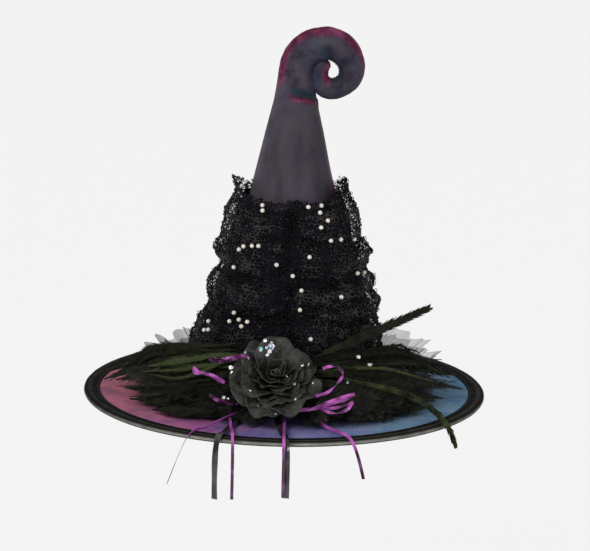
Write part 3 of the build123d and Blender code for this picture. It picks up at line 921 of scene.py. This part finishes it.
def draw_picots(rng, picots):
    """Small loops along the top edge and along the ridges of the side puffs."""
    def picot(turn, height, size):
        top, out = lace_point(turn, height), away(turn, 0.3)
        along = Vector((cos(turn), sin(turn), 0))
        loop = [top + out * size * (1 - cos(t)) * 0.5 + along * size * sin(t) * 0.7 + UP * size * 0.6 * sin(t)
                for t in (2 * pi * step / 9 for step in range(10))]
        picots.tube(loop, 0.34, 4)

    for index in range(110):
        turn = -pi + 2 * pi * index / 110
        picot(turn, lace_edge(turn) - 0.5, 1.8 + 0.8 * rng.random())
    for height in range(40, 228, 5):
        for side in (-1, 1):
            for spread in (-0.5, -0.33, -0.18, -0.06, 0.06, 0.18, 0.33, 0.5):
                picot(side * pi / 2 + spread + 0.05 * rng.random(), height + 4 * rng.random(),
                      1.2 + 1.6 * rng.random() ** 2)


def make_lace():
    """The ruched sleeve: a net, a closer layer under it, and a corded pattern of flowers and picots."""
    sheet = lace_layer(110, 380, 0, lace_point).make("lace_net", "lace_net", "lace", ["lace_sleeve"])
    lining = lace_layer(80, 240, 7, under_point).make("lace_under_layer", "lace_under", "lace")

    rng = random.Random(11)
    flowers = scatter_flowers(rng)
    # Front and back are separate pieces.
    cords, motifs, picots = [Shape("tone"), Shape("tone")], [Shape("tone"), Shape("tone")], Shape("tone")
    draw_cords(rng, flowers, cords, motifs)
    draw_petals(rng, flowers, motifs)
    draw_picots(rng, picots)
    named = (("cords_front", cords[0]), ("cords_back", cords[1]), ("flowers_front", motifs[0]),
             ("flowers_back", motifs[1]), ("picots", picots))
    pieces = [shape.make("lace_" + name, "lace_cord", "lace") for name, shape in named]


make_lace()

# Pearls on the lace: (x, height) of each on the front; the back has the same, half a turn round.
PEARLS = [
    (-25, 216), (-25, 212), (20.5, 218), (33.5, 222), (32.5, 211), (40.5, 203), (34, 197), (44, 181), (54, 180),
    (70, 176), (23, 167), (-10, 158), (-53, 148), (-48, 168), (-43.5, 172), (-35, 174), (-28.5, 175), (6.5, 146),
    (15.5, 132), (56, 124), (71.5, 142), (78.5, 138), (14.5, 112), (-52, 103), (-56.5, 93), (-47, 97),
    (-38.5, 97), (-44.5, 92), (-78, 79), (-84, 77), (-78, 86), (26, 84), (78, 56), (90, 46),
]


def make_pearls():
    shape, threads = Shape(), Shape()
    for half in (0, pi):
        for x, height in PEARLS:
            height = min(height, 216)
            turn = 0.0
            for _ in range(12):
                sine = min(max((x - crown_at(height)[0]) / lace_reach(turn, height), -0.97), 0.97)
                turn = atan2(sine, sqrt(1 - sine**2))
            turn += half
            spot, out = lace_point(turn, height), away(turn, 0.15)
            shape.blob(spot + out * 2.9, 2.35, 14, 20)
            threads.tube([spot + out * 0.2 + UP * 2.2, spot + out * 2.9 + UP * 2.45, spot + out * 2.9 - UP * 2.45,
                          spot + out * 0.2 - UP * 2.2], 0.2, 4)
    shape.make("pearls", "pearl", "pearl", ["pearl_beads"])
    threads.make("pearl_threads", "thread", "thread")


make_pearls()


# ------------------------------------------------------------------ tulle
def make_tulle():
    """A gathered ruffle round the sides and back, in two layers of stiff folds with pointed tops."""
    # Each peak's angle from the back in degrees, its height and how far it reaches out.
    peaks = [(-106, 30, 30), (-96, 38, 38), (-88, 42, 43), (-80, 37, 40), (-74, 47, 47), (-69, 40, 43), (-64, 50, 45),
             (-58, 42, 42), (-50, 50, 40), (-40, 44, 46), (-28, 54, 40), (-14, 44, 46), (0, 54, 44), (14, 44, 46),
             (28, 54, 42), (40, 46, 46), (52, 54, 46), (60, 42, 58), (67, 46, 60), (73, 38, 50), (79, 42, 62),
             (86, 38, 46), (94, 44, 42), (106, 30, 30)]
    edge = Shape()
    for layer, (spin, size) in enumerate(((0.0, 1.0), (3.2, 0.86))):
        shape, lines = Shape("tone"), []
        columns, rows = 620, 14
        heights = [(middle + spin, height) for middle, height, _ in peaks]
        reaches = [(middle + spin, reach) for middle, _, reach in peaks]

        def place(row, column):
            turn, t = -106 + 212 * (column / (columns - 1)), row / (rows - 1)
            height = blend_points(heights, turn) * size - (5 * ease(-40, 60, -turn) + 2)
            reach = blend_points(reaches, turn) * size
            fold = 0.5 * sin(turn * 1.15 + spin + 2.0 * rough(turn / 9, layer, 7.0))
            height = height * (1 + 0.03 * fold * t) + 2 * rough(turn / 3, layer, 0.4)
            radius = 103 + reach * t ** 0.85 + 6.0 * fold * (0.3 + t) + 2 * rough(turn / 5, t * 2, layer)
            angle = radians(90 - turn)
            point = Vector((radius * cos(angle), radius * sin(angle), 5 + (height - 5) * t))
            if row == rows - 1:
                lines.append(point)
            # tone darkens the tulle and makes it less clear: most at the foot and on the left, with painted shade along
            # the folds.
            dense = max((1 - t) ** 2, 0.85 * ease(25, 60, -turn) * (1 - 0.4 * t))
            return point, {"tone": min(1.0, max(0.0, dense + 0.5 * fold * (1 - 0.5 * t)))}

        shape.grid(rows, columns, place)
        shape.make("tulle_layer_%d" % (layer + 1), "tulle", "tulle",
                                 () if layer else ["tulle_ruffle"])
        edge.tube(lines, 0.22, 4)
    rim = edge.make("tulle_edges", "tulle_edge", "tulle")


make_tulle()


# ------------------------------------------------------------------ feathers
def feather(shape, rng, points, width, count=0, lean=0.75, loose=0.12, tone=0.5, quill=0.75, up=UP, tip=0.35,
            curl=0.0, strand=0.85):
    """A quill through the points, with separate barbs on both sides and a vane of some width at its widest.

    lean is the barbs' slant off the quill's square, loose how uneven they are, and tip the share that tapers.
    """
    points = [Vector(point) for point in points]
    length = sum((b - a).length for a, b in zip(points, points[1:]))
    line = [bend(points, index / 24) for index in range(25)]
    shape.tube(line, [quill * (1 - 0.85 * index / 24) for index in range(25)], 4, tone=tone + 0.25)
    count = count or int(length / 1.15)
    for index in range(count):
        share = 0.05 + 0.95 * (index + rng.random()) / count
        point = bend(points, share)
        run = (bend(points, min(share + 0.02, 1)) - bend(points, max(share - 0.02, 0))).normalized()
        side = run.cross(up).normalized()
        face = side.cross(run)
        full = width / 2 * (min(1.0, share / 0.22) ** 0.6) * (1 - ease(1 - tip, 1.03, share) * 0.92)
        for hand in (-1, 1):
            reach = full * (1 + loose * rng.gauss(0, 1)) + 0.6
            slant = lean * (1 + 0.12 * rng.gauss(0, 1)) * (1 - 0.35 * ease(0.6, 1, share))
            way = (run * cos(slant) + side * hand * sin(slant)).normalized()
            drift = face * (rng.gauss(0, 0.10) + curl) + side * rng.gauss(0, 0.05)
            steps = [point, point + (way + drift * 0.4) * reach * 0.75,
                     point + (way + run * 0.35 + drift) * reach * 1.35]
            across = way.cross(face).normalized() * strand / 2
            first = len(shape.points)
            shade = tone + 0.35 * rng.random()
            for spot, share_wide in zip(steps, (0.8, 1.0, 0.12)):
                shape.add(spot + across * share_wide, tone=shade)
                shape.add(spot - across * share_wide + face * 0.12, tone=shade)
            shape.faces += [(first, first + 1, first + 3, first + 2), (first + 2, first + 3, first + 5, first + 4)]


# The long feathers: width across the vane, tone, and the points of the quill.
LONG_FEATHERS = {
    "left_rear": (17, 0.6, [(-48, -100, 60), (-92, -74, 57), (-130, -44, 46), (-162, -20, 28), (-188, -4, 13)]),
    "left_upper": (17, 0.7, [(-44, -110, 49), (-84, -90, 46), (-120, -63, 36), (-152, -34, 25), (-176, -10, 14)]),
    "left_green": (7, 0.8, [(-46, -106, 70), (-74, -98, 66), (-98, -87, 58), (-122, -73, 50), (-142, -58, 43)]),
    "left_middle": (19, 0.4, [(-42, -117, 39), (-76, -104, 35), (-108, -84, 27), (-140, -58, 18), (-166, -32, 11)]),
    "left_front": (19, 0.4, [(-40, -122, 32), (-74, -118, 28), (-106, -102, 21), (-136, -84, 14), (-160, -68, 9)]),
    "left_low": (18, 0.3, [(-42, -128, 22), (-66, -132, 19), (-92, -128, 15), (-114, -118, 11), (-136, -106, 8)]),
    "right_tall": (17, 0.3, [(32, -110, 70), (66, -88, 80), (96, -66, 88), (124, -43, 95), (149, -21, 101)]),
    "right_rear": (17, 0.5, [(30, -104, 58), (74, -80, 56), (112, -50, 49), (152, -14, 33), (184, 18, 18)]),
    "right_upper": (17, 0.5, [(30, -110, 50), (74, -92, 47), (112, -68, 39), (152, -40, 26), (186, -14, 13)]),
    "right_middle": (19, 0.5, [(28, -116, 41), (68, -106, 37), (104, -90, 29), (138, -67, 20), (166, -46, 11)]),
    "right_front": (19, 0.4, [(28, -124, 31), (62, -122, 27), (94, -112, 20), (124, -97, 14), (150, -80, 9)]),
    "right_drooping": (11, 0.1, [(62, -120, 50), (104, -114, 39), (137, -112, 28), (158, -122, 16),
                                 (171, -134, 4), (180, -144, -14)]),
}


def make_feathers():
    rng = random.Random(5)
    facing = Vector((0, -0.78, 0.62))
    turned = {"right_tall": Vector((-0.2, -0.9, 0.35)), "right_drooping": Vector((0.25, -0.85, 0.45))}
    firm = {"loose": 0.05, "lean": 0.38, "quill": 1.0, "tip": 0.10, "strand": 1.7}
    soft = {"loose": 0.16, "lean": 0.6, "quill": 0.8, "tip": 0.4, "strand": 1.0}
    for name, (width, tone, points) in LONG_FEATHERS.items():
        shape = Shape("tone")
        feather(shape, rng, points, width, tone=tone, up=turned.get(name, facing),
                **(firm if name in turned else soft))
        # The green feather and the drooping one carry the painted green sheen.
        colour = "feather_olive" if name in ("left_green", "right_drooping") else "feather_black"
        shape.make(f"feather_{name}_plume", colour, colour, ["feather_" + name])

    # Sprays of narrow cock's feathers: (how many, root, middle, end, spread of the end, lowest and highest tone).
    sprays = {
        "left": [(44, (-46, -100, 66), (-122, -36, 51), (-178, 8, 18), (12, 13, 4), 0.0, 0.75),
                 (16, (-44, -104, 60), (-116, -44, 41), (-172, -6, 14), (13, 10, 4), 0.0, 0.75),
                 (5, (-44, -110, 66), (-104, -80, 51), (-146, -52, 39), (9, 8, 5), 0.65, 0.9),
                 (18, (-42, -116, 44), (-106, -86, 27), (-158, -46, 11), (12, 18, 3), 0.0, 0.5),
                 (14, (-42, -124, 30), (-92, -116, 20), (-134, -88, 9), (12, 12, 3), 0.0, 0.4)],
        "right": [(40, (32, -102, 62), (110, -48, 57), (160, -2, 28), (10, 12, 4), 0.0, 0.6),
                  (20, (30, -106, 56), (104, -64, 42), (158, -16, 19), (10, 14, 4), 0.0, 0.6),
                  (2, (30, -108, 60), (98, -72, 50), (156, -30, 24), (14, 16, 6), 0.63, 0.66),
                  (20, (28, -116, 42), (98, -92, 30), (150, -58, 12), (12, 16, 4), 0.0, 0.6),
                  (12, (28, -124, 31), (84, -114, 20), (124, -92, 9), (14, 10, 3), 0.0, 0.5)],
    }
    for side, groups in sprays.items():
        shape, green = Shape("tone"), Shape("tone")
        for count, root, middle, end, spread, low, high in groups:
            for _ in range(count):
                points = [Vector(root) + scatter(rng, 4, 5, 5), Vector(middle) + scatter(rng, 7, 7, 4),
                          Vector(end) + scatter(rng, *spread)]
                points[2].z = max(points[2].z, 5.5)
                points[2] = points[1] + (points[2] - points[1]) * (0.55 + 0.5 * rng.random())
                tone = low + (high - low) * rng.random()
                up = facing + scatter(rng, 0.2, 0.3, 0.3)
                # Groups whose lowest tone is above 0.6 go into the pieces with the painted green sheen.
                feather(green if low > 0.6 else shape, rng, points, 6 + 7 * rng.random(), tone=tone, loose=0.3,
                        lean=0.36, quill=0.4, up=up, tip=0.6, strand=0.75)
        shape.make("spray_" + side, "feather_black", "feather_black")
        green.make("spray_green_" + side, "feather_olive", "feather_olive")

    # Down: short soft plumes on the pads, the dark mass under the long feathers.
    for side, sign in (("left", -1), ("right", 1)):
        shape = Shape("tone")
        for _ in range(230):
            angle = radians(-90 + sign * (4 + 72 * rng.random()))
            radius = 103 + 32 * rng.random()
            root = Vector((radius * cos(angle), radius * sin(angle), 6 + 18 * rng.random()))
            out = Vector((cos(angle), sin(angle), 0))
            drift = Vector((sign * (0.5 + 0.6 * rng.random()), -0.1 + 0.5 * rng.gauss(0, 1), 0)) + out * 0.55
            far = 24 + 16 * rng.random()
            end = root + drift.normalized() * far
            end.z = 5.5 + 24 * rng.random()
            middle = (root + end) / 2 + UP * 7 * rng.random()
            up = facing + scatter(rng, 0.5, 0.5, 0.5)
            feather(shape, rng, [root, middle, end], 20, count=36, tone=0.5 * rng.random(), loose=0.35, lean=0.8,
                    quill=0.3, up=up, tip=0.6, strand=0.5, curl=rng.gauss(0, 0.15))
        shape.make("down_" + side, "down", "feather_black")


make_feathers()


# ------------------------------------------------------------------ rose
ROSE_PLACE, ROSE_TILT = Vector((-12.0, -126.0, 34.0)), radians(55.0)
ROSE_RIGHT = Vector((1, 0, 0))
ROSE_UP = Vector((0, sin(ROSE_TILT), cos(ROSE_TILT)))
ROSE_OUT = Vector((0, -cos(ROSE_TILT), sin(ROSE_TILT)))


def on_rose(across, up, out):
    return ROSE_PLACE + ROSE_RIGHT * across + ROSE_UP * up + ROSE_OUT * out


def petal(shape, rng, turn, foot, lift, length, half_width, rise, fall, ruffle, shift=(0, 0)):
    """One rounded petal: it leaves the flower's middle at the angle rise and leans out to the angle fall."""
    rows, columns = 17, 19
    phase, waves = rng.random() * 6, 1.3 + 0.7 * rng.random()
    profile = [(foot, lift)]
    for row in range(1, rows):
        t = row / (rows - 1)
        angle = radians(rise + (fall - rise) * t**1.3)
        profile.append((profile[-1][0] + cos(angle) * length / (rows - 1),
                        profile[-1][1] + sin(angle) * length / (rows - 1)))

    def place(row, column):
        s = 2 * column / (columns - 1) - 1
        t = row / (rows - 1) * (1 - 0.30 * abs(s) ** 2.4)
        low = min(int(t * (rows - 1)), rows - 2)
        share = t * (rows - 1) - low
        reach = profile[low][0] * (1 - share) + profile[low + 1][0] * share
        height = profile[low][1] * (1 - share) + profile[low + 1][1] * share
        wide = half_width * (0.30 + 0.70 * sin(min(1.0, t * 1.3) * pi / 2))
        swing = s * wide / max(reach, 10.0) * 0.9
        ripple = ruffle * t**3 * sin(s * waves * pi + phase)
        ripple += 2.0 * rough(s * 1.9 + phase, t * 2.4, phase) + 0.7 * rough(s * 5 + phase, t * 6, 1.0)
        lip = 2.0 * ease(0.82, 1.0, row / (rows - 1)) * (1 - 0.5 * abs(s))
        point = on_rose(reach * sin(swing + turn) + shift[0], reach * cos(swing + turn) + shift[1],
                        height + ripple + 3.2 * s * s * t - lip)
        # Painted highlight on the outer edge and the side edges, uneven at random.
        rim = max(ease(0.88, 1.0, row / (rows - 1)), ease(0.86, 1.0, abs(s)) * t)
        return point, {"rim": rim * (0.45 + 0.55 * noise.noise(point * 0.2))}

    shape.grid(rows, columns, place)


def make_rose():
    rng = random.Random(23)
    # Rings of petals as (how many, foot, lift, length, half width, rise, fall, ruffle, shift of the middle).
    layers = (
        ("rose_outer_fabric", "petal_sheer", "petal_outer", "rose_outer_petals",
         [(8, 10, 2.5, 43, 27, 38, 0, 4.6, (-1, 4)), (8, 9, 4.5, 38, 23, 48, 8, 4.4, (0, 6))]),
        ("rose_middle_fabric", "petal_satin", "petal_inner", "rose_middle_petals",
         [(8, 9, 6.5, 33, 19, 56, 14, 4.0, (0, 7)), (7, 8, 8.0, 28, 16, 64, 22, 3.4, (1, 9))]),
        ("rose_inner_fabric", "petal_satin", "petal_inner", "rose_inner_petals",
         [(5, 7, 9.5, 23, 15, 74, 34, 2.2, (2, 11)), (4, 5, 11.0, 19, 11, 82, 50, 1.6, (3, 12))]),
    )
    for name, material, slot, node, rings in layers:
        shape = Shape("rim")
        for count, foot, lift, length, half_width, rise, fall, ruffle, shift in rings:
            spin = rng.random() * 2 * pi
            for index in range(count):
                turn = spin + 2 * pi * (index + 0.35 * (rng.random() - 0.5)) / count
                petal(shape, rng, turn, foot, lift, length * (0.9 + 0.2 * rng.random()), half_width,
                      rise + rng.gauss(0, 5), fall + rng.gauss(0, 6), ruffle, shift)
        if name == "rose_outer_fabric":
            # The big petal that stands up behind, and a small half-open one on each side of it.
            petal(shape, rng, 0.08, 10, 6, 50, 27, 52, 30, 1.5, (0, 0))
            petal(shape, rng, 0.85, 10, 6, 44, 17, 60, 25, 2.5, (0, 0))
            petal(shape, rng, -0.80, 10, 5, 42, 17, 52, 22, 2.5, (0, 0))
        shape.make(name, material, slot, [node], thickness=0.4)
    # The bud: one strip rolled up, wider towards its top, and a second smaller whorl beside it.
    shape = Shape("rim")
    rows, columns = 9, 150
    for across, up, size, tall in ((1, 12, 1.0, 21.0), (19, 14, 0.62, 25.0)):

        def place(row, column):
            share, t = column / (columns - 1), row / (rows - 1)
            turn = share * 2 * pi * 3.1
            reach = (1.0 + 6.4 * share) * (0.75 + 0.45 * t) * size
            height = 8 + (tall - 8 - 3.5 * share) * t + 0.8 * sin(turn * 1.5) * t
            # The rim value paints a highlight on the bud's top edge.
            return on_rose(reach * sin(turn) + across, reach * cos(turn) + up, height), {"rim": 0.15 + 0.85 * t**4}

        shape.grid(rows, columns, place)
    shape.make("rose_bud_fabric", "petal_satin", "petal_inner", ["rose_bud"], thickness=0.5)


make_rose()

# Sequins and crystals: (x, y, z, radius, hue) in the frame.
GLINTS = [
    (-21, -140, 95, 2.3, 0.0), (-15.5, -141, 90, 2.2, 0.3), (-16, -142, 84, 2.8, 0.1), (-25, -141, 86, 2.4, 0.7),
    (-13, -142, 87, 1.9, 0.3), (-18, -142, 80, 1.9, 0.95), (-14, -141, 93, 1.6, 0.55), (-19, -139, 87, 1.8, 0.25),
    (-12.5, -139, 88, 1.5, 0.9), (-41, -136, 80, 1.6, 0.5), (-38, -137, 75, 1.6, 0.45), (-56, -144, 66, 2.4, 0.0),
    (-55, -144, 61, 1.6, 0.9), (-63, -150, 35, 2.5, 0.0), (-59, -150, 34, 1.6, 0.3), (25, -146, 72, 1.3, 0.5),
    (19, -147, 71, 1.2, 0.35), (11, -160, 54, 2.1, 0.0), (12, -158, 37, 1.1, 0.6), (-27, -160, 30, 1.0, 0.2),
    (-8, -162, 22, 1.0, 0.8), (66, -140, 52, 1.9, 0.7), (77, -94, 67, 2.2, 0.0), (90, -92, 58, 2.2, 0.0),
    (-35, -154, 44, 1.0, 0.4), (2, -158, 62, 1.0, 0.1), (30, -140, 50, 1.1, 0.9),
]


def surface_tree(names):
    """A search tree over made pieces, in millimetres."""
    points, faces = [], []
    for name in names:
        mesh = bpy.data.objects[name].data
        first = len(points)
        points += [vertex.co / MM for vertex in mesh.vertices]
        faces += [[first + index for index in polygon.vertices] for polygon in mesh.polygons]
    return BVHTree.FromPolygons(points, faces)


def make_glints():
    """Sequins in pairs, each sewn where a look from the front, 15 degrees down, meets the rose or the feathers."""
    rng = random.Random(3)
    shape = Shape("tone")
    tree = surface_tree(["rose_outer_fabric", "rose_middle_fabric", "rose_inner_fabric", "rose_bud_fabric",
                         "spray_left", "spray_right", "down_left", "down_right"])
    inward = Vector((0, cos(radians(15)), -sin(radians(15))))
    for x, y, z, radius, hue in GLINTS:
        for extra in range(2):
            centre = Vector((x + rng.gauss(0, 0.9) * extra, y - 1.5 - 0.6 * extra, z + rng.gauss(0, 0.9) * extra))
            spot = tree.ray_cast(centre - inward * 60, inward, 110)[0]
            if spot:
                centre = spot - inward * (0.5 + 0.5 * extra)
            facing = Vector((rng.gauss(0, 0.35), -1, 0.4 + rng.gauss(0, 0.35)))
            shape.blob(centre, radius * (1 - 0.3 * extra), 4, 8, (facing, 0.4), tone=(hue + 0.4 * extra) % 1.0)
    shape.make("glints", "sequin", "sequin", ["sequins"], smooth=False)


make_glints()

# Ribbon loops: each is a strip of narrow ribbon through typed points, in the frame.
LOOPS = {
    "left_upper": [(-32, -128, 74), (-46, -130, 75), (-60, -130, 72), (-78, -126, 70), (-66, -126, 67),
                   (-48, -126, 71), (-36, -126, 71)],
    "left_middle": [(-62, -134, 47), (-74, -138, 55), (-86, -138, 57), (-95, -134, 62), (-93, -132, 56),
                    (-82, -132, 56), (-70, -132, 49), (-62, -130, 45)],
    "left_lower": [(-48, -148, 27), (-60, -150, 29), (-72, -150, 33), (-78, -146, 36), (-70, -146, 32),
                   (-56, -146, 28), (-48, -144, 26)],
    "right_upper": [(33, -146, 37), (46, -150, 43), (56, -150, 53), (61, -148, 62), (56, -146, 68), (47, -144, 69),
                    (40, -142, 66)],
    "right_middle": [(14, -158, 24), (30, -162, 29), (48, -162, 36), (64, -158, 41), (73, -154, 42), (70, -152, 38),
                     (54, -154, 33), (34, -156, 27), (18, -156, 23)],
    "right_lower": [(36, -158, 28), (44, -160, 25), (56, -160, 23), (66, -156, 26), (72, -152, 33), (66, -152, 30),
                    (52, -154, 27), (38, -156, 27)],
}


def make_loops():
    for place, points in LOOPS.items():
        name = "ribbon_loop_" + place
        points = [Vector(point) for point in points]
        line = [bend(points, index / 40) for index in range(41)]
        sides = []
        for index in range(41):
            turn = 2.2 * sin(index / 40 * pi * 2.3 + len(name)) + 0.3
            sides.append(Vector((0.15, -cos(turn), 0.9 * sin(turn) + 0.25)).normalized())
        level = -0.15 if place in ("left_upper", "left_lower") else 0.7
        shape = Shape("tone")
        shape.ribbon(line, sides, NARROW, 0.3, [level + 1.1 * noise.noise(point / 9.0) for point in line])
        shape.make(name + "_ribbon", "purple_ribbon", "purple_ribbon", [name], smooth=False)


make_loops()


# ------------------------------------------------------------------ stage
def make_stage():
    """A wide, plain pale floor under the hat, well below the ribbons' ends."""
    mesh = bpy.data.meshes.new("floor")
    mesh.from_pydata([(x, y, -0.30) for x, y in ((-30, -30), (30, -30), (30, 30), (-30, 30))], [], [(0, 1, 2, 3)])
    floor = bpy.data.objects.new("floor", mesh)
    scene.collection.objects.link(floor)
    shader = Shader("floor", 1.0, 0.0, Emission_Strength=0.885)
    shader.put("Emission Color", (1, 1, 1))
    shader.paint((0.03, 0.03, 0.03))
    mesh.materials.append(materials["floor"])


make_stage()
